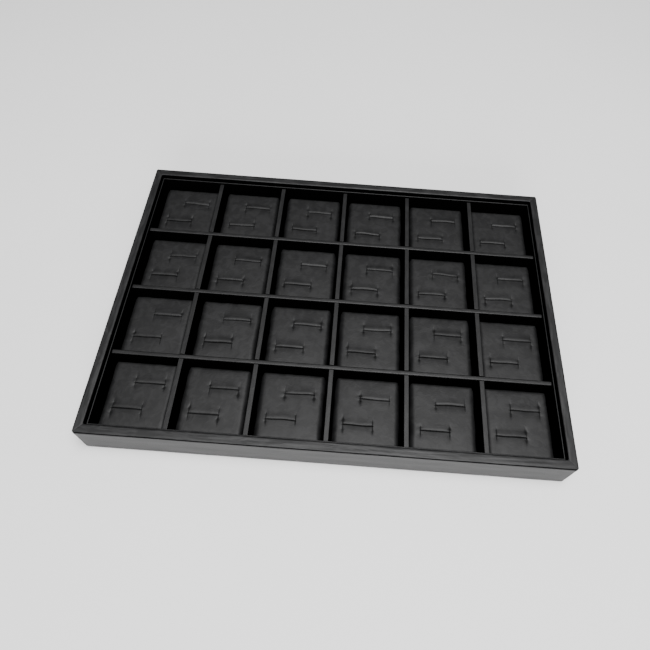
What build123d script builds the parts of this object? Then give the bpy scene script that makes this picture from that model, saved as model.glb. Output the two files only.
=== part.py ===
from build123d import *
import math
import os

# A leatherette jewellery display tray, all sizes in millimetres.
# The origin is the centre of the underside, +X runs along the length, +Y to the back and +Z up.
# Heights below are measured up from the underside, and insets are measured in from the outer faces.

os.makedirs("parts", exist_ok=True)

# Overall size
tray_length = 350.0
tray_depth = 240.0
tray_height = 35.0
corner_radius = 1.6  # outer corners of the frame, seen from above

# Frame: four mitred rails, with a covering round the outside and another over the rim
rail_thickness = 5.4
wrap_thickness = 0.6
wrap_turn_in = 12.0  # how far the outside covering is folded in under the base
wrap_edge_radius = 0.5
seam_drop = 1.35  # from the rim top down to the seam round the outside
seam_gap = 0.15

# Bottom: felt underside, base board and floor lining
felt_thickness = 0.8
felt_inset = 2.5
board_thickness = 3.0
lining_thickness = 0.4

# Liner: four thin walls that stand inside the frame
liner_thickness = 1.0
liner_drop = 3.9

# Dividers: half-lapped strips, the rows slotted from below and the columns from above
row_count = 4
column_count = 6
cell_pitch = 56.8
divider_thickness = 3.5
divider_drop = 6.0
divider_end_clearance = 0.5
slot_clearance = 0.1
slot_depth_clearance = 0.2

# Ring pads: soft cushions, one to a cell
pad_clearance = 0.8
pad_drop = 17.0  # from the rim top down to the top of the crown
pad_corner_radius = 4.0
pad_edge_radius = 3.0
pad_edge_steps = 4
pad_crown = 0.8
pad_crown_steps = 3
pad_flat = 6.0  # the level middle of the crown
pad_draw = 0.8  # how far each side is drawn in at the foot
pad_draw_height = 4.0

# Slits: two H-shaped cuts in each pad, for the rings
slit_width = 0.8
slit_length = 22.0
slit_leg_length = 10.0
slit_depth = 9.0
slit_offset_x = 6.0
slit_offset_y = 10.0

# Heights of the layers
wrap_bottom = felt_thickness
board_bottom = wrap_bottom + wrap_thickness
board_top = board_bottom + board_thickness
floor_top = board_top + lining_thickness
rail_top = tray_height - wrap_thickness
seam_top = tray_height - seam_drop
liner_top = tray_height - liner_drop
divider_top = tray_height - divider_drop
divider_middle = (floor_top + divider_top) / 2
pad_height = tray_height - pad_drop - floor_top

# Insets of the frame's layers
rail_outer = wrap_thickness
rail_inner = rail_outer + rail_thickness
rim_inner = rail_inner + wrap_thickness
liner_inner = rim_inner + liner_thickness

side_names = ["front", "right", "back", "left"]


def layer_outline(inset, mode=Mode.ADD):
    """The tray's outline moved in by an inset, with its rounded corners as far as they reach."""
    length = tray_length - 2 * inset
    depth = tray_depth - 2 * inset
    if inset < corner_radius:
        RectangleRounded(length, depth, corner_radius - inset, mode=mode)
    else:
        Rectangle(length, depth, mode=mode)


def inset_corners(inset):
    """Square corners of that outline, anticlockwise from the front left."""
    x = tray_length / 2 - inset
    y = tray_depth / 2 - inset
    return [(-x, -y), (x, -y), (x, y), (-x, y)]


def mitred_strip(side, outer, inner, low, high):
    """One side of a frame layer between two insets and two heights, mitred at both ends."""
    following = (side + 1) % len(side_names)
    outer_corners = inset_corners(outer)
    inner_corners = inset_corners(inner + corner_radius)
    with BuildSketch(Plane.XY.offset(low)) as outline:
        layer_outline(outer)
        layer_outline(inner, mode=Mode.SUBTRACT)
        with BuildLine():
            Polyline(
                outer_corners[side],
                outer_corners[following],
                inner_corners[following],
                inner_corners[side],
                close=True,
            )
        make_face(mode=Mode.INTERSECT)
    extrude(outline.sketch, amount=high - low)


def sheet(inset, low, thickness):
    """A flat layer that keeps one inset from the outline."""
    with BuildSketch(Plane.XY.offset(low)) as outline:
        layer_outline(inset)
    extrude(outline.sketch, amount=thickness)


def divider_positions(count):
    """Centre lines of the dividers between a number of cells, even about the middle."""
    return [(index - count / 2) * cell_pitch for index in range(1, count)]


def cell_spans(count, inner_size):
    """Low and high side of each cell, between the liner and the dividers' faces."""
    lines = divider_positions(count)
    lows = [-inner_size / 2] + [line + divider_thickness / 2 for line in lines]
    highs = [line - divider_thickness / 2 for line in lines] + [inner_size / 2]
    return list(zip(lows, highs))


def save(finished, label):
    """Label a finished sub-part and write its STEP file."""
    finished.part.label = label
    export_step(finished.part, f"parts/{label}.step")


# Felt sheet that the tray rests on
with BuildPart() as felt_underside:
    sheet(felt_inset, 0, felt_thickness)
save(felt_underside, "felt_underside")

# Base board, inside the four rails
with BuildPart() as base_board:
    sheet(rail_inner, board_bottom, board_thickness)
save(base_board, "base_board")

# Lining on the base board, inside the rim covering
with BuildPart() as floor_lining:
    sheet(rim_inner, board_top, lining_thickness)
save(floor_lining, "floor_lining")

# Frame rails with mitred ends
for side, side_name in enumerate(side_names):
    with BuildPart() as frame_rail:
        mitred_strip(side, rail_outer, rail_inner, board_bottom, rail_top)
    save(frame_rail, f"frame_rail_{side_name}")

# Outside covering: up the outer face to the seam, and turned in under the base
for side, side_name in enumerate(side_names):
    with BuildPart() as side_wrap:
        mitred_strip(side, 0, wrap_turn_in, wrap_bottom, board_bottom)
        mitred_strip(side, 0, rail_outer, board_bottom, seam_top - seam_gap)
        bottom_edges = side_wrap.edges().group_by(Axis.Z)[0]
        fillet(bottom_edges.sort_by(SortBy.LENGTH)[-1], wrap_edge_radius)
    save(side_wrap, f"side_wrap_{side_name}")

# Rim covering: a short lip outside, the rim top, and down the inner face to the base board
for side, side_name in enumerate(side_names):
    with BuildPart() as rim_wrap:
        mitred_strip(side, 0, rail_outer, seam_top, tray_height)
        mitred_strip(side, rail_outer, rim_inner, rail_top, tray_height)
        mitred_strip(side, rail_inner, rim_inner, board_top, rail_top)
        top_edges = rim_wrap.edges().group_by(Axis.Z)[-1]
        fillet(top_edges.sort_by(SortBy.LENGTH)[-2:], wrap_edge_radius)
    save(rim_wrap, f"rim_wrap_{side_name}")

# Liner walls, standing on the floor lining
for side, side_name in enumerate(side_names):
    with BuildPart() as liner:
        mitred_strip(side, rim_inner, liner_inner, floor_top, liner_top)
    save(liner, f"liner_{side_name}")

cell_area_length = tray_length - 2 * liner_inner
cell_area_depth = tray_depth - 2 * liner_inner
row_lines = divider_positions(row_count)
column_lines = divider_positions(column_count)
slot_width = divider_thickness + 2 * slot_clearance

# Row dividers run along X, numbered from the back, with slots in their lower half
for number, y in enumerate(reversed(row_lines), start=1):
    with BuildPart() as row_divider:
        with BuildSketch(Plane.XY.offset(floor_top)):
            with Locations((0, y)):
                Rectangle(cell_area_length - 2 * divider_end_clearance, divider_thickness)
        extrude(amount=divider_top - floor_top)
        with BuildSketch(Plane.XY.offset(floor_top)):
            with Locations([(x, y) for x in column_lines]):
                Rectangle(slot_width, slot_width)
        extrude(amount=divider_middle + slot_depth_clearance - floor_top, mode=Mode.SUBTRACT)
    save(row_divider, f"row_divider_{number}")

# Column dividers run along Y, numbered from the left, with slots in their upper half
for number, x in enumerate(column_lines, start=1):
    with BuildPart() as column_divider:
        with BuildSketch(Plane.XY.offset(floor_top)):
            with Locations((x, 0)):
                Rectangle(divider_thickness, cell_area_depth - 2 * divider_end_clearance)
        extrude(amount=divider_top - floor_top)
        with BuildSketch(Plane.XY.offset(divider_middle)):
            with Locations([(x, y) for y in row_lines]):
                Rectangle(slot_width, slot_width)
        extrude(amount=divider_top - divider_middle, mode=Mode.SUBTRACT)
    save(column_divider, f"column_divider_{number}")

row_spans = cell_spans(row_count, cell_area_depth)
column_spans = cell_spans(column_count, cell_area_length)
pad_width = min(high - low for low, high in column_spans) - 2 * pad_clearance
pad_depth = min(high - low for low, high in row_spans) - 2 * pad_clearance


def pad_outlines():
    """Inset and height of each outline of a pad, from the drawn-in foot to the top of the crown."""
    shoulder = pad_height - pad_crown
    outlines = [(pad_draw, 0), (0, pad_draw_height)]
    for step in range(pad_edge_steps + 1):
        turn = math.pi / 2 * step / pad_edge_steps
        inset = pad_edge_radius * (1 - math.cos(turn))
        outlines.append((inset, shoulder - pad_edge_radius * (1 - math.sin(turn))))
    crown_inset = min(pad_width, pad_depth) / 2 - pad_corner_radius - pad_flat / 2
    for step in range(1, pad_crown_steps + 1):
        share = step / pad_crown_steps
        inset = pad_edge_radius + (crown_inset - pad_edge_radius) * share
        outlines.append((inset, pad_height - pad_crown * (1 - share) ** 2))
    return outlines


# Ring pads, numbered by row from the back and by column from the left
for row, (front, back) in enumerate(reversed(row_spans), start=1):
    for column, (left, right) in enumerate(column_spans, start=1):
        seat = Plane(((left + right) / 2, (front + back) / 2, floor_top))
        with BuildPart() as ring_pad:
            for inset, height in pad_outlines():
                with BuildSketch(seat.offset(height)):
                    RectangleRounded(
                        pad_width - 2 * inset, pad_depth - 2 * inset, pad_corner_radius
                    )
            loft(ruled=True)
            # two H-shaped slits, one either side of the pad's centre
            with BuildSketch(seat.offset(pad_height - slit_depth)):
                for way in (1, -1):
                    x = way * slit_offset_x
                    y = way * slit_offset_y
                    with Locations((x, y)):
                        Rectangle(slit_length, slit_width)
                    with Locations((x - slit_length / 2, y), (x + slit_length / 2, y)):
                        Rectangle(slit_width, slit_leg_length)
            extrude(amount=slit_depth, mode=Mode.SUBTRACT)
        save(ring_pad, f"ring_pad_r{row}c{column}")
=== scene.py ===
import math
import random

import bmesh
import bpy
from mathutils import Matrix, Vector, noise


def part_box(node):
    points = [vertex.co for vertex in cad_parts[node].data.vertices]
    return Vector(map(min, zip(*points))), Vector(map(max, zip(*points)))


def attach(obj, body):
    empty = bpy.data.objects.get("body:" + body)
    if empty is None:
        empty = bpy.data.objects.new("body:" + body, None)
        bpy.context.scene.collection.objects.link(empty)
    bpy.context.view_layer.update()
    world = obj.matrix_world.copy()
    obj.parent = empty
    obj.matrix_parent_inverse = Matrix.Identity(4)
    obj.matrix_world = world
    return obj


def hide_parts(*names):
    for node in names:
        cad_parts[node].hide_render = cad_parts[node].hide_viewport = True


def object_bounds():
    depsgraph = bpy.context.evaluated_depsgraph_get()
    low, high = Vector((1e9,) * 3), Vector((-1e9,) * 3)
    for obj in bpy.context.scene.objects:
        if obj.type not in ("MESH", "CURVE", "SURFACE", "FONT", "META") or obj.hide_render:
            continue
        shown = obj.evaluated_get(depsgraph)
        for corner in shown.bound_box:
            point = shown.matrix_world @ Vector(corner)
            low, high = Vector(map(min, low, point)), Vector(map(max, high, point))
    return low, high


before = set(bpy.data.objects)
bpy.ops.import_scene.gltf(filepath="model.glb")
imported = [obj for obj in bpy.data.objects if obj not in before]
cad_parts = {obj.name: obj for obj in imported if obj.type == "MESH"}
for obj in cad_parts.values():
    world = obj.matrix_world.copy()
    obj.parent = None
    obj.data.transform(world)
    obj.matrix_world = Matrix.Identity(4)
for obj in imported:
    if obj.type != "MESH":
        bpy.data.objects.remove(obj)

cad_low, cad_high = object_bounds()
mm = 0.001

# The camera stands in front of the tray, a little right of its middle, and looks down into it.
# Its lens sits high in the picture, so the picture is shifted down and to the left of the lens.
camera_place = Vector((4.9, -233.5, 457.6)) * mm
camera_tilt = math.radians(35.74)
camera_roll = math.radians(-2.30)
camera_turn = math.radians(3.52)
camera_lens = 33.06
camera_shift = (-0.0330, -0.1528)

camera_data = bpy.data.cameras.new("camera")
camera_data.sensor_width = 36
camera_data.lens = camera_lens
camera_data.shift_x, camera_data.shift_y = camera_shift
camera_data.clip_start = 10 * mm
camera = bpy.data.objects.new("camera", camera_data)
camera.location = camera_place
camera.rotation_euler = (camera_tilt, camera_roll, camera_turn)
bpy.context.scene.collection.objects.link(camera)
bpy.context.scene.camera = camera


# The felt sheet under the tray is a thin needled felt, glued over the folded-in covering.
# It is dull and slightly mottled, with short fibres that lie every way.
def new_finish(name, roughness, specular=0.3):
    """A named material with its plain constants set on the shader."""
    finish = bpy.data.materials.new(name)
    finish.use_nodes = True
    shader = finish.node_tree.nodes["Principled BSDF"]
    shader.inputs["Roughness"].default_value = roughness
    shader.inputs["Specular IOR Level"].default_value = specular
    return finish, shader


def add_node(tree, kind, **settings):
    """A node of one kind with its settings."""
    node = tree.nodes.new(kind)
    for name, value in settings.items():
        setattr(node, name, value)
    return node


def blend_colours(finish, shader, mask, dark, light):
    """Base colour between a dark and a light tone, by a mask."""
    tree = finish.node_tree
    mix = add_node(tree, "ShaderNodeMix", data_type="RGBA")
    mix.inputs["A"].default_value = (*dark, 1)
    mix.inputs["B"].default_value = (*light, 1)
    tree.links.new(mask, mix.inputs["Factor"])
    tree.links.new(mix.outputs["Result"], shader.inputs["Base Color"])


def raise_grain(finish, shader, height, depth, distance):
    """Bump from a height."""
    tree = finish.node_tree
    bump = add_node(tree, "ShaderNodeBump")
    bump.inputs["Strength"].default_value = depth
    bump.inputs["Distance"].default_value = distance
    tree.links.new(height, bump.inputs["Height"])
    tree.links.new(bump.outputs["Normal"], shader.inputs["Normal"])


def make_group(name, inputs, outputs):
    """An empty shader node group with named sockets."""
    group = bpy.data.node_groups.new(name, "ShaderNodeTree")
    for socket, kind, value in inputs:
        made = group.interface.new_socket(socket, in_out="INPUT", socket_type=kind)
        if value is not None:
            made.default_value = value
    for socket in outputs:
        group.interface.new_socket(socket, in_out="OUTPUT", socket_type="NodeSocketFloat")
    return group, group.nodes.new("NodeGroupInput"), group.nodes.new("NodeGroupOutput")


def use_group(finish, group, **values):
    """A group placed in a finish, on coordinates in metres that travel with the piece."""
    place = add_node(finish.node_tree, "ShaderNodeTexCoord").outputs["Object"]
    node = add_node(finish.node_tree, "ShaderNodeGroup", node_tree=group)
    finish.node_tree.links.new(place, node.inputs["Place"])
    for name, value in values.items():
        node.inputs[name.replace("_", " ")].default_value = value
    return node


# Cloudy tone: patches with a finer cloud on top, slow for stains and fast for fibres.
cloud_group, cloud_in, cloud_out = make_group(
    "cloudy tone",
    [("Place", "NodeSocketVector", None), ("Patches Per Metre", "NodeSocketFloat", 40.0)],
    ["Mask"],
)
cloud_noise = add_node(cloud_group, "ShaderNodeTexNoise")
cloud_noise.inputs["Detail"].default_value = 5
cloud_noise.inputs["Roughness"].default_value = 0.62
cloud_range = add_node(cloud_group, "ShaderNodeMapRange", interpolation_type="SMOOTHSTEP")
cloud_range.inputs["From Min"].default_value = 0.32
cloud_range.inputs["From Max"].default_value = 0.70
cloud_group.links.new(cloud_in.outputs["Place"], cloud_noise.inputs["Vector"])
cloud_group.links.new(cloud_in.outputs["Patches Per Metre"], cloud_noise.inputs["Scale"])
cloud_group.links.new(cloud_noise.outputs["Fac"], cloud_range.inputs["Value"])
cloud_group.links.new(cloud_range.outputs["Result"], cloud_out.inputs["Mask"])


def fibrous(name, dark, light, roughness, patches, depth, distance, specular=0.3):
    """A dull finish of fibres or grain, which stand up a little where they are lighter."""
    finish, shader = new_finish(name, roughness, specular)
    mask = use_group(finish, cloud_group, Patches_Per_Metre=patches).outputs["Mask"]
    blend_colours(finish, shader, mask, dark, light)
    raise_grain(finish, shader, mask, depth, distance)
    return finish


felt_finish = fibrous(
    "needled felt",
    dark=(0.010, 0.010, 0.011),
    light=(0.030, 0.030, 0.032),
    roughness=0.95,
    patches=1500.0,
    depth=0.6,
    distance=0.3 * mm,
    specular=0.2,
)
felt_shader = felt_finish.node_tree.nodes["Principled BSDF"]
felt_shader.inputs["Sheen Weight"].default_value = 0.3


def dress(name, finish):
    """Give a CAD node its finish."""
    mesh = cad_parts[name].data
    mesh.materials.clear()
    mesh.materials.append(finish)


dress("felt_underside", felt_finish)

# The base board and the four rails are the wooden carcass: a thin fibreboard let in between
# mitred softwood strips, glued at the corners. The covering hides all of it.
wood_finish = fibrous(
    "softwood",
    dark=(0.36, 0.24, 0.13),
    light=(0.52, 0.37, 0.21),
    roughness=0.7,
    patches=300.0,
    depth=0.3,
    distance=0.2 * mm,
)
board_finish = fibrous(
    "fibreboard",
    dark=(0.20, 0.13, 0.08),
    light=(0.27, 0.19, 0.12),
    roughness=0.85,
    patches=900.0,
    depth=0.3,
    distance=0.1 * mm,
)
side_names = ["front", "right", "back", "left"]
dress("base_board", board_finish)
for side_name in side_names:
    dress(f"frame_rail_{side_name}", wood_finish)

# The floor lining is a thin black flock paper, glued to the base board. It only shows as a
# dark line in the gaps round the pads, and where a pad has been lifted out.
# The same black flock finish also stands as painted shade in the seam, on the rim's lip and inner leg,
# and down the edges and walls of the liner and dividers.
flock_and_painted_shade_finish = fibrous(
    "black flock paper and painted shade",
    dark=(0.0004, 0.0004, 0.0004),
    light=(0.0012, 0.0012, 0.0012),
    roughness=1.0,
    patches=2500.0,
    depth=0.4,
    distance=0.1 * mm,
    specular=0.0,
)
dress("floor_lining", flock_and_painted_shade_finish)

# The outside covering is black embossed leatherette, glued up the outer face of each rail and
# folded in under the base. It ends in a rolled hem at the seam below the rim. A strip above
# the hem lies under the rim's lip and takes the black flock finish, as painted seam shade.
grain_group, grain_in, grain_out = make_group(
    "embossed grain",
    [
        ("Place", "NodeSocketVector", None),
        ("Grains Per Metre", "NodeSocketFloat", 1500.0),
        ("Streak Direction", "NodeSocketVector", (1.0, 1.0, 1.0)),
        ("Streaks Per Metre", "NodeSocketFloat", 250.0),
        ("Streak Share", "NodeSocketFloat", 0.5),
    ],
    ["Height", "Streaks"],
)
pebbles = add_node(grain_group, "ShaderNodeTexVoronoi", feature="SMOOTH_F1")
pebbles.inputs["Smoothness"].default_value = 0.6
pebbles.inputs["Randomness"].default_value = 0.95
stretch = add_node(grain_group, "ShaderNodeVectorMath", operation="MULTIPLY")
streaks = add_node(grain_group, "ShaderNodeTexNoise")
streaks.inputs["Detail"].default_value = 3
streaks.inputs["Roughness"].default_value = 0.55
streaks.inputs["Distortion"].default_value = 0.6
ridges = add_node(grain_group, "ShaderNodeMapRange", interpolation_type="SMOOTHSTEP")
ridges.inputs["From Min"].default_value = 0.38
ridges.inputs["From Max"].default_value = 0.66
summed = add_node(grain_group, "ShaderNodeMix", data_type="FLOAT")
links = grain_group.links
links.new(grain_in.outputs["Place"], pebbles.inputs["Vector"])
links.new(grain_in.outputs["Grains Per Metre"], pebbles.inputs["Scale"])
links.new(grain_in.outputs["Place"], stretch.inputs[0])
links.new(grain_in.outputs["Streak Direction"], stretch.inputs[1])
links.new(stretch.outputs["Vector"], streaks.inputs["Vector"])
links.new(grain_in.outputs["Streaks Per Metre"], streaks.inputs["Scale"])
links.new(streaks.outputs["Fac"], ridges.inputs["Value"])
links.new(grain_in.outputs["Streak Share"], summed.inputs["Factor"])
links.new(pebbles.outputs["Distance"], summed.inputs["A"])
links.new(ridges.outputs["Result"], summed.inputs["B"])
links.new(summed.outputs["Result"], grain_out.inputs["Height"])
links.new(ridges.outputs["Result"], grain_out.inputs["Streaks"])
emboss_depth = 0.25 * mm


def leatherette(name, dark, light, roughness, grains, direction, streaks, share, depth):
    """Embossed leatherette, whose faint wrinkles run the way in which they are stretched."""
    finish, shader = new_finish(name, roughness)
    grain = use_group(
        finish,
        grain_group,
        Grains_Per_Metre=grains,
        Streak_Direction=direction,
        Streaks_Per_Metre=streaks,
        Streak_Share=share,
    )
    blend_colours(finish, shader, grain.outputs["Streaks"], dark, light)
    raise_grain(finish, shader, grain.outputs["Height"], depth, emboss_depth)
    return finish


along_x = (0.25, 1.0, 1.0)
along_y = (1.0, 0.25, 1.0)
wrinkle_ways = [along_x, along_y, along_x, along_y]

half_length = cad_high.x
half_depth = cad_high.y
tray_top = cad_high.z
corner_radius = 1.6 * mm
inner_corner_radius = 1.2 * mm
corner_steps = 4
station_gap = 7 * mm
mitre_crease = 0.4 * mm
ripple = 0.16 * mm
ripples_per_metre = 38
ripple_turn = 0.55  # how far the ripple changes from one point of the section to the next
ripple_per_side = 7.3
ripple_upward = Vector((3.1, 9.2, 4.7))


def side_point(side, along, out, z):
    """A point given along a side, out from the middle and up, for each of the four sides."""
    turned = [(along, -out), (out, along), (-along, out), (-out, -along)][side]
    return Vector((*turned, z))


def covering(name, side, section, finish, node, painted_shade_faces):
    """One side of a covering: a closed section of inset, height and ripple between two mitres."""
    reach = half_length if side % 2 == 0 else half_depth
    out = half_depth if side % 2 == 0 else half_length
    straight = int(2 * reach / station_gap)
    angles = [math.pi / 4 * (1 - step / corner_steps) for step in range(corner_steps + 1)]
    stations = [(-1, turn, 0.0) for turn in angles]
    stations += [(0, 0.0, 2 * step / straight - 1) for step in range(1, straight)]
    stations += [(1, turn, 0.0) for turn in reversed(angles)]
    shape = bmesh.new()
    rings = []
    for end, turn, share in stations:
        ring = []
        for index, (inset, z, wave) in enumerate(section):
            radius = max(corner_radius - inset, inner_corner_radius)
            centre = reach - inset - radius
            along = end * (centre + radius * math.sin(turn)) if end else share * centre
            place = out - inset - radius + radius * math.cos(turn)
            if turn == angles[0] and wave:
                place -= mitre_crease
                z -= mitre_crease
            elif wave:
                spot = Vector((along * ripples_per_metre, index * ripple_turn, side * ripple_per_side))
                place += wave * noise.noise(spot)
                z += wave * noise.noise(spot + ripple_upward)
            ring.append(shape.verts.new(side_point(side, along, place, z)))
        rings.append(ring)
    for ring, following in zip(rings, rings[1:]):
        for index in range(len(section)):
            after = (index + 1) % len(section)
            face = shape.faces.new((ring[index], following[index], following[after], ring[after]))
            # Faces listed as painted shade take the black flock finish, the second slot.
            face.material_index = 1 if index in painted_shade_faces else 0
    shape.faces.new(rings[0])
    shape.faces.new(reversed(rings[-1]))
    bmesh.ops.recalc_face_normals(shape, faces=shape.faces)
    for face in shape.faces:
        face.smooth = len(face.verts) == 4
    mesh = bpy.data.meshes.new(name)
    shape.to_mesh(mesh)
    shape.free()
    mesh.materials.append(finish)
    mesh.materials.append(flock_and_painted_shade_finish)
    piece = bpy.data.objects.new(name, mesh)
    bpy.context.scene.collection.objects.link(piece)
    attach(piece, "tray")
    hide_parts(node)


wrap_thickness = 0.6 * mm
wrap_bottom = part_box("side_wrap_front")[0].z
board_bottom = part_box("base_board")[0].z
fold_in = 12 * mm
seam_low = 33.1 * mm
under_lip = 0.56 * mm  # inset of the strip under the rim's lip
under_lip_top = tray_top - 0.8 * mm
under_lip_low = seam_low - 0.35 * mm

# Each point of the hem and the foot: inset and height in millimetres, share of the ripple.
hem_roll = [(0.20, -0.03, 0.3), (0.08, 0.0, 0.5), (-0.02, -0.15, 0.7), (-0.06, -0.50, 1.0)]
foot_roll = [(0.0, 1.1, 1.0), (0.12, 0.5, 0.5), (0.40, 0.15, 0.0), (0.90, 0.0, 0.0)]
face_heights = [30.5, 27.0, 23.5, 20.0, 16.5, 13.0, 9.5, 6.0, 3.5]
face_ripple = 1.5 * ripple

outside_section = [
    (wrap_thickness, under_lip_top, 0),
    (under_lip, under_lip_top, 0),
    (under_lip, under_lip_low, 0),
]
# The strip under the lip takes the black flock finish: painted shade in the seam.
seam_painted_shade_faces = range(len(outside_section))
for inset, height, share in hem_roll:
    outside_section.append((inset * mm, seam_low + height * mm, share * ripple))
for height in face_heights:
    outside_section.append((0.0, height * mm, face_ripple))
for inset, height, share in foot_roll:
    outside_section.append((inset * mm, wrap_bottom + height * mm, share * ripple))
outside_section += [
    (fold_in, wrap_bottom, 0),
    (fold_in, board_bottom, 0),
    (wrap_thickness, board_bottom, 0),
]
for side, side_name in enumerate(side_names):
    wrap_finish = leatherette(
        f"wrap leatherette {side_name}",
        dark=(0.009, 0.009, 0.0094),
        light=(0.013, 0.013, 0.0135),
        roughness=0.50,
        grains=1500.0,
        direction=wrinkle_ways[side],
        streaks=420.0,
        share=0.2,
        depth=0.3,
    )
    covering(
        f"outside_covering_{side_name}",
        side,
        outside_section,
        wrap_finish,
        f"side_wrap_{side_name}",
        seam_painted_shade_faces,
    )

# The rim covering is a second strip of the same leatherette, mitred at the corners. It has a
# rolled lip above the seam, lies over the top of the rail and runs down inside to the board.
# The lip up to the middle of its roll, and the leg from the middle of its own, are black flock:
# painted shade.
lip_low = 33.9 * mm
lip_inset = 0.05 * mm
lip_hem = 0.08 * mm
lip_back = under_lip - 0.04 * mm
rim_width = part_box("liner_front")[0].y - cad_low.y
rail_inner = rim_width - wrap_thickness
rail_top = tray_top - wrap_thickness
board_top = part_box("base_board")[1].z
outer_radius = 0.8 * mm
inner_radius = 1.4 * mm
roll_steps = 6
rim_crown = 0.02 * mm
crown_places = (0.3, 0.4, 0.5, 0.6, 0.7)
leg_heights = (30.0, 22.0, 12.0)
lip_ripple = 0.5 * ripple
roll_ripple = 0.7 * ripple

rim_section = [(lip_back, lip_low, 0), (lip_inset + lip_hem, lip_low, lip_ripple)]
outer_roll_start = len(rim_section)
for step in range(roll_steps + 1):
    turn = math.pi / 2 * step / roll_steps
    inset = lip_inset + outer_radius * (1 - math.cos(turn))
    height = tray_top - outer_radius * (1 - math.sin(turn))
    rim_section.append((inset, height, roll_ripple))
for share in crown_places:
    rim_section.append((rim_width * share, tray_top + rim_crown, ripple))
inner_roll_start = len(rim_section)
for step in range(roll_steps + 1):
    turn = math.pi / 2 * (1 - step / roll_steps)
    inset = rim_width - inner_radius * (1 - math.cos(turn))
    height = tray_top - inner_radius * (1 - math.sin(turn))
    rim_section.append((inset, height, ripple))
for height in leg_heights:
    rim_section.append((rim_width, height * mm, 0))
rim_section += [
    (rim_width, board_top, 0),
    (rail_inner, board_top, 0),
    (rail_inner, rail_top, 0),
    (lip_back, rail_top, 0),
]
# The black flock on the lip and on the rim's inner edge and leg is painted shade.
half_roll = roll_steps // 2
lip_painted_shade_faces = range(outer_roll_start + half_roll)
leg_painted_shade_faces = range(inner_roll_start + half_roll, len(rim_section))
for side, side_name in enumerate(side_names):
    rim_finish = leatherette(
        f"rim leatherette {side_name}",
        dark=(0.005, 0.005, 0.0053),
        light=(0.015, 0.015, 0.0155),
        roughness=0.50,
        grains=1500.0,
        direction=wrinkle_ways[side],
        streaks=330.0,
        share=0.5,
        depth=0.4,
    )
    covering(
        f"rim_covering_{side_name}",
        side,
        rim_section,
        rim_finish,
        f"rim_wrap_{side_name}",
        (*lip_painted_shade_faces, *leg_painted_shade_faces),
    )

# The liner is a thin card wall that stands against the rim covering and leans in a little at
# its top. Leatherette lies over its top edge; lower down it takes black flock as painted shade.
strip_along_x, strip_along_y = [
    leatherette(
        f"strip leatherette {axis}",
        dark=(0.005, 0.005, 0.0053),
        light=(0.010, 0.010, 0.0104),
        roughness=0.48,
        grains=1700.0,
        direction=direction,
        streaks=380.0,
        share=0.4,
        depth=0.3,
    )
    for axis, direction in (("x", along_x), ("y", along_y))
]
liner_edge = 0.45 * mm
liner_lean = 0.5 * mm
weld_gap = 0.001 * mm
flat_angle = math.radians(1)
sharp_angle = math.radians(60)
edge_segments = 4
# Below this share of the edge radius under the top, the faces are black flock: painted shade.
painted_shade_start = 0.45  # how far the leatherette comes down over a rounded edge


def soften(node, name, edge, finish, lean=Vector((0, 0, 0))):
    """A wrapped card strip: the node's outline with its edges rounded, leaning at its top."""
    shape = bmesh.new()
    shape.from_mesh(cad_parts[node].data)
    bmesh.ops.remove_doubles(shape, verts=shape.verts, dist=weld_gap)
    bmesh.ops.dissolve_limit(
        shape, angle_limit=flat_angle, verts=shape.verts, edges=shape.edges
    )
    inner_edges = [line for line in shape.edges if len(line.link_faces) == 2]
    bmesh.ops.bevel(
        shape,
        geom=[line for line in inner_edges if line.calc_face_angle() > sharp_angle],
        offset=edge,
        segments=edge_segments,
        profile=0.5,
        affect="EDGES",
        clamp_overlap=True,
    )
    top = max(vert.co.z for vert in shape.verts)
    for vert in shape.verts:
        vert.co += lean * (vert.co.z / top)
    for face in shape.faces:
        face.smooth = True
        # Faces below the leatherette cap take the black flock finish, as painted shade on the walls.
        face.material_index = 0 if face.calc_center_median().z > top - painted_shade_start * edge else 1
    mesh = bpy.data.meshes.new(name)
    shape.to_mesh(mesh)
    shape.free()
    mesh.materials.append(finish)
    mesh.materials.append(flock_and_painted_shade_finish)
    piece = bpy.data.objects.new(name, mesh)
    bpy.context.scene.collection.objects.link(piece)
    weighted = piece.modifiers.new("flat faces stay flat", "WEIGHTED_NORMAL")
    weighted.weight = 100
    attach(piece, "tray")
    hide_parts(node)


for side, side_name in enumerate(side_names):
    soften(
        f"liner_{side_name}",
        f"liner_wall_{side_name}",
        liner_edge,
        strip_along_x if side % 2 == 0 else strip_along_y,
        side_point(side, 0, -liner_lean, 0),
    )

# The dividers are strips of stiff card, capped in leatherette; below the cap, black flock stands as
# painted shade.
# They are half-lapped with the rows over the columns, so only the columns' caps are cut.
row_count = 4
column_count = 6
row_edge = 1.0 * mm
column_edge = 0.3 * mm
for number in range(1, row_count):
    soften(
        f"row_divider_{number}", f"row_strip_{number}", row_edge, strip_along_x
    )
for number in range(1, column_count):
    soften(
        f"column_divider_{number}", f"column_strip_{number}", column_edge, strip_along_y
    )

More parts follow.
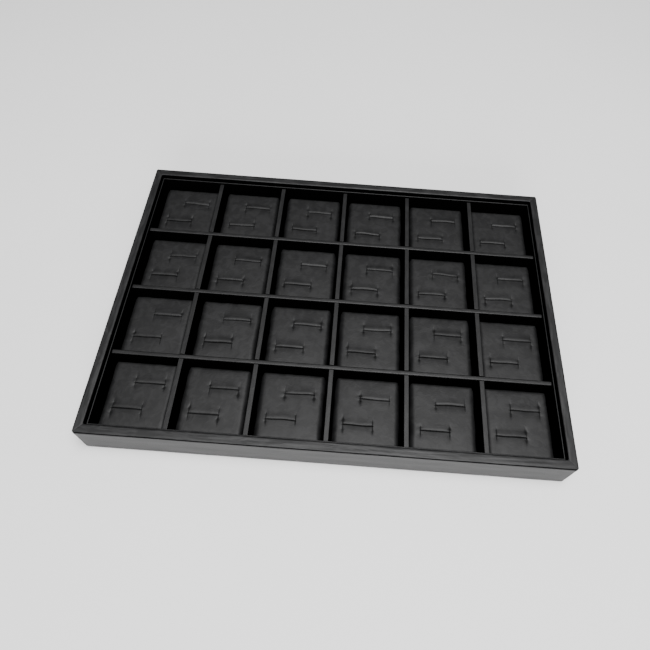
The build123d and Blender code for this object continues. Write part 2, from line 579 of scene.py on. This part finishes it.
# A ring pad is a block of foam on a card, wrapped in fine soft leatherette. It lies loose in
# its cell and lifts out. Two H-shaped cuts go through the wrap into the foam. The far flap of
# each stands up, and its lip turns down into the cut, more so in the back rows.
pad_finish = leatherette(
    "pad leatherette",
    dark=(0.006, 0.006, 0.0063),
    light=(0.011, 0.011, 0.0114),
    roughness=0.55,
    grains=1300.0,
    direction=(1.0, 1.0, 1.0),
    streaks=160.0,
    share=0.5,
    depth=0.3,
)
pad_corner = 2.8 * mm
pad_crown = 0.7 * mm
crown_power = 0.6  # below 1, so that the crown is broad and flat
pad_side_edge = 4.6 * mm
pad_end_edge = 2.4 * mm
pad_side_roll = 4.8 * mm
pad_end_roll = 1.0 * mm
pad_edge_steps = 6
pad_draw = 0.8 * mm  # how far the sides are drawn in at the foot
base_tuck = 0.35 * mm
side_levels = (0.25, 0.5, 0.75, 0.92, 1.0)
side_wave = 0.22 * mm
side_waves_per_metre = 60
level_turn = 2
edge_power = 8  # high, so that a pull at the edge fades fast towards the middle

# The edges wander in and out, and the whole face is a little uneven.
pad_edge_wave = 0.6 * mm
end_wave_share = 0.5
edge_wave_reach = 5 * mm
edge_waves_per_metre = (150, 90)
face_wave = (0.6 * mm, 0.7 * mm, 0.25 * mm)
face_wave_reach = 6 * mm
face_waves_per_metre = 70
height_wave_share = 0.8
y_wave_shift = Vector((11.0, 5.0, 2.0))
z_wave_shift = Vector((2.0, 17.0, 8.0))
wave_range = 50

slit_places = ((6.0 * mm, 10.0 * mm), (-6.0 * mm, -10.0 * mm))
slit_half = 11.0 * mm
leg_half = 5.0 * mm
slit_near_mouth = 0.3 * mm
slit_far_mouth = 0.25 * mm
slit_depth = 3.2 * mm
slit_taper = 1.3
slit_fade = 0.5 * mm
flap_lift = 0.8 * mm
flap_inner_fade = 0.2 * mm
flap_outer_fade = 0.3 * mm
near_flap_fall = 1.6
lip_width = 2.1 * mm
lip_drops = (0.95 * mm, 0.8 * mm, 0.65 * mm, 0.5 * mm)
pit_radius = 0.5 * mm
pucker_radius = 1.6 * mm

# Lines of the pad's mesh stand at these offsets, in millimetres, from each cut and cut tip.
cut_offsets = (-1.6, -0.8, -0.3, -0.12, 0.0, 0.12, 0.25, 0.55, 0.9, 1.5, 2.4)
tip_offsets = (-0.5, 0.0, 0.5)
grid_gap = 2.2 * mm
cut_clearance = 1.0 * mm
least_gap = 0.05 * mm

# No two cuts are alike: lengths in millimetres, and shares of the depth, the lift or the drop.
leg_shares = (0.08, 0.3)
near_pits = (0, 0.6, 1.4)
far_pits = (0, 0, 1.4)
puckers = (0.1, 0.45)
near_tips = (1.6, 4.2)
far_tips = (1.8, 4.4)
far_lifts = (0.3, 1.2)
lip_shares = (0.6, 1.4)
near_lifts = (-0.7, -0.2)


def grid_lines(half, edge, cuts, tips):
    """Lines across a pad: even, but close together at its edges, its cuts and their tips."""
    turns = [math.pi / 2 * step / pad_edge_steps for step in range(pad_edge_steps + 1)]
    edge_lines = [half - edge * (1 - math.cos(turn)) for turn in turns]
    lines = [sign * line for line in edge_lines for sign in (1, -1)]
    near_cuts = [cut + offset * mm for cut in cuts for offset in cut_offsets]
    near_cuts += [tip + offset * mm for tip in tips for offset in tip_offsets]
    lines += near_cuts
    count = int(2 * (half - edge) / grid_gap)
    for index in range(1, count):
        line = (half - edge) * (2 * index / count - 1)
        if all(abs(line - cut) > cut_clearance for cut in near_cuts):
            lines.append(line)
    spaced = []
    for line in sorted(lines):
        if not spaced or line - spaced[-1] > least_gap:
            spaced.append(line)
    return spaced


def smooth_step(value, low, high):
    """0 below low, 1 above high, and a smooth rise between."""
    share = min(max((value - low) / (high - low), 0.0), 1.0)
    return share * share * (3 - 2 * share)


def groove(distance):
    """Depth share of a cut at a distance from its line: 1 on the line, 0 past its mouth."""
    mouth = slit_far_mouth if distance > 0 else slit_near_mouth
    return max(0.0, 1 - abs(distance) / mouth) ** slit_taper


def rolled_edge(distance, edge):
    """How far a rounded edge has fallen, as a share, at a distance in from the side."""
    if distance >= edge:
        return 0.0
    return 1 - math.sqrt(max(1 - (1 - distance / edge) ** 2, 0.0))


def slit_height(x, y, slit):
    """How far the wrap rises or falls round one H-shaped cut."""
    across = x - slit["x"]
    up = y - slit["y"]
    height = 0.0
    flap_start = slit_half - flap_inner_fade
    flap_end = slit_half + flap_outer_fade
    within = 1 - smooth_step(abs(across), flap_start, flap_end)
    if 0 <= up < leg_half:
        height += slit["far_lift"] * within * (1 - up / leg_half)
        height -= slit["lip_drop"] * within * max(1 - up / lip_width, 0) ** 2
    if -leg_half < up < 0:
        height += slit["near_lift"] * within * (1 + up / leg_half) ** near_flap_fall
    cut = groove(up) * (1 - smooth_step(abs(across), slit_half, slit_half + slit_fade))
    leg_length = smooth_step(up, -slit["near_tip"] - slit_fade, -slit["near_tip"])
    leg_length *= 1 - smooth_step(up, slit["far_tip"], slit["far_tip"] + slit_fade)
    for side in (-1, 1):
        leg = slit["legs"][side]
        beside = across - side * slit_half
        cut = max(cut, leg["share"] * groove(beside) * leg_length)
        for tip, pit in ((-slit["near_tip"], leg["near_pit"]), (slit["far_tip"], leg["far_pit"])):
            away = math.hypot(beside, up - tip)
            height -= pit * math.exp(-((away / pit_radius) ** 2))
            height -= leg["pucker"] * math.exp(-((away / pucker_radius) ** 2))
    return height - slit_depth * cut


def pad_mesh(name, low, high, lip_drop, seed):
    """A closed pad: a crowned top with its cuts, sides drawn in at the foot, and a flat base."""
    chance = random.Random(seed)
    half_x = (high.x - low.x) / 2
    half_y = (high.y - low.y) / 2
    middle = (low + high) / 2
    slits = []
    for x, y in slit_places:
        legs = {
            side: {
                "share": chance.uniform(*leg_shares),
                "near_pit": chance.choice(near_pits) * mm,
                "far_pit": chance.choice(far_pits) * mm,
                "pucker": chance.uniform(*puckers) * mm,
            }
            for side in (-1, 1)
        }
        slits.append(
            {
                "x": x,
                "y": y,
                "legs": legs,
                "near_tip": chance.uniform(*near_tips) * mm,
                "far_tip": chance.uniform(*far_tips) * mm,
                "far_lift": flap_lift * chance.uniform(*far_lifts),
                "lip_drop": lip_drop * chance.uniform(*lip_shares),
                "near_lift": flap_lift * chance.uniform(*near_lifts),
            }
        )
    leg_lines = [x + side * slit_half for x, y in slit_places for side in (-1, 1)]
    tips = [slit["y"] - slit["near_tip"] for slit in slits]
    tips += [slit["y"] + slit["far_tip"] for slit in slits]
    x_lines = grid_lines(half_x, pad_side_edge, leg_lines, [])
    y_lines = grid_lines(half_y, pad_end_edge, [y for x, y in slit_places], tips)
    own_waves = Vector((chance.uniform(0, wave_range), chance.uniform(0, wave_range), 0))

    def top_point(x, y):
        to_edge = min(half_x - abs(x), half_y - abs(y))
        bulge = (1 - (x / half_x) ** 2) * (1 - (y / half_y) ** 2)
        z = high.z - pad_crown * (1 - bulge**crown_power)
        side_fall = rolled_edge(half_x - abs(x), pad_side_edge)
        end_fall = rolled_edge(half_y - abs(y), pad_end_edge)
        z -= math.hypot(side_fall * pad_side_roll, end_fall * pad_end_roll)
        for slit in slits:
            z += slit_height(x, y, slit)
        # the plan's corners are rounded by drawing each corner square into a quarter round
        core_x = min(max(x, pad_corner - half_x), half_x - pad_corner)
        core_y = min(max(y, pad_corner - half_y), half_y - pad_corner)
        away = math.hypot(x - core_x, y - core_y)
        if away > 0 and x != core_x and y != core_y:
            pull = max(abs(x - core_x), abs(y - core_y)) / away
            x = core_x + (x - core_x) * pull
            y = core_y + (y - core_y) * pull
        x_pace, y_pace = edge_waves_per_metre
        edge_noise = noise.noise(Vector((x * x_pace, y * y_pace, 0)) + own_waves)
        near_edge = 1 - smooth_step(to_edge, 0, edge_wave_reach)
        draw_in = pad_edge_wave * (1 + edge_noise) * near_edge
        x -= math.copysign(draw_in * (abs(x) / half_x) ** edge_power, x)
        y -= math.copysign(end_wave_share * draw_in * (abs(y) / half_y) ** edge_power, y)
        inside = smooth_step(to_edge, 0, face_wave_reach)
        spot = Vector((x * face_waves_per_metre, y * face_waves_per_metre, 0)) + own_waves
        x += inside * face_wave[0] * noise.noise(spot)
        y += inside * face_wave[1] * noise.noise(spot + y_wave_shift)
        z += inside * face_wave[2] * noise.noise(spot * height_wave_share + z_wave_shift)
        return Vector((middle.x + x, middle.y + y, z))

    shape = bmesh.new()
    grid = [[shape.verts.new(top_point(x, y)) for y in y_lines] for x in x_lines]
    for column, following in zip(grid, grid[1:]):
        for index in range(len(y_lines) - 1):
            shape.faces.new(
                (column[index], following[index], following[index + 1], column[index + 1])
            )
    shoulder = [column[0] for column in grid]
    shoulder += grid[-1][1:]
    shoulder += [column[-1] for column in reversed(grid[:-1])]
    shoulder += reversed(grid[0][1:-1])
    ring = shoulder
    for level in side_levels:
        inset = pad_draw * level**2
        if level == side_levels[-1]:
            inset += base_tuck
        lower = []
        for start in shoulder:
            place = start.co - middle
            outward = Vector((place.x / half_x, place.y / half_y, 0))
            outward.x = math.copysign(abs(outward.x) ** edge_power, outward.x)
            outward.y = math.copysign(abs(outward.y) ** edge_power, outward.y)
            outward.normalize()
            spot = Vector((place.x, place.y, 0)) * side_waves_per_metre
            spot.z = level * level_turn
            bulge = side_wave * noise.noise(spot + own_waves) * (1 - level)
            z = start.co.z + (low.z - start.co.z) * level
            moved = start.co - outward * (inset - bulge)
            lower.append(shape.verts.new((moved.x, moved.y, z)))
        for index in range(len(shoulder)):
            after = (index + 1) % len(shoulder)
            shape.faces.new((ring[after], ring[index], lower[index], lower[after]))
        ring = lower
    shape.faces.new(reversed(ring))
    bmesh.ops.recalc_face_normals(shape, faces=shape.faces)
    for face in shape.faces:
        face.smooth = True
    mesh = bpy.data.meshes.new(name)
    shape.to_mesh(mesh)
    shape.free()
    return mesh


for row in range(1, row_count + 1):
    for column in range(1, column_count + 1):
        cell = f"r{row}c{column}"
        pad_low, pad_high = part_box(f"ring_pad_{cell}")
        slit_pad_mesh = pad_mesh(
            f"slit_pad_{cell}", pad_low, pad_high, lip_drops[row - 1], seed=row * 10 + column
        )
        slit_pad_mesh.materials.append(pad_finish)
        slit_pad = bpy.data.objects.new(f"slit_pad_{cell}", slit_pad_mesh)
        bpy.context.scene.collection.objects.link(slit_pad)
        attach(slit_pad, f"pad_{cell}")
        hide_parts(f"ring_pad_{cell}")

# The studio is a plain pale paper floor, with a soft light low in front, a stronger one
# overhead and an even white surround.
floor_size = 8.0
floor_dark = (0.86, 0.86, 0.86)
floor_light = (0.88, 0.88, 0.88)
floor_finish, floor_shader = new_finish("pale paper", roughness=0.9, specular=0.2)
floor_tone = use_group(floor_finish, cloud_group, Patches_Per_Metre=3.0)
blend_colours(floor_finish, floor_shader, floor_tone.outputs["Mask"], floor_dark, floor_light)
floor_mesh = bpy.data.meshes.new("paper_floor")
floor_shape = bmesh.new()
bmesh.ops.create_grid(floor_shape, x_segments=4, y_segments=4, size=floor_size / 2)
floor_shape.to_mesh(floor_mesh)
floor_shape.free()
floor_mesh.materials.append(floor_finish)
floor = bpy.data.objects.new("paper_floor", floor_mesh)
bpy.context.scene.collection.objects.link(floor)


def soft_light(name, place, size, watts):
    """A square soft light that faces the tray."""
    data = bpy.data.lights.new(name, "AREA")
    data.shape = "SQUARE"
    data.size = size
    data.energy = watts
    light = bpy.data.objects.new(name, data)
    light.location = place
    light.rotation_euler = (-Vector(place)).to_track_quat("-Z", "Y").to_euler()
    bpy.context.scene.collection.objects.link(light)


soft_light("front_light", place=(0.05, -1.5, 0.5), size=0.9, watts=24)
soft_light("overhead_light", place=(0.16, -0.2, 1.5), size=0.7, watts=40)
surround = bpy.data.worlds.new("white surround")
surround.use_nodes = True
surround_shader = surround.node_tree.nodes["Background"]
surround_shader.inputs["Color"].default_value = (1, 1, 1, 1)
surround_shader.inputs["Strength"].default_value = 0.28
bpy.context.scene.world = surround
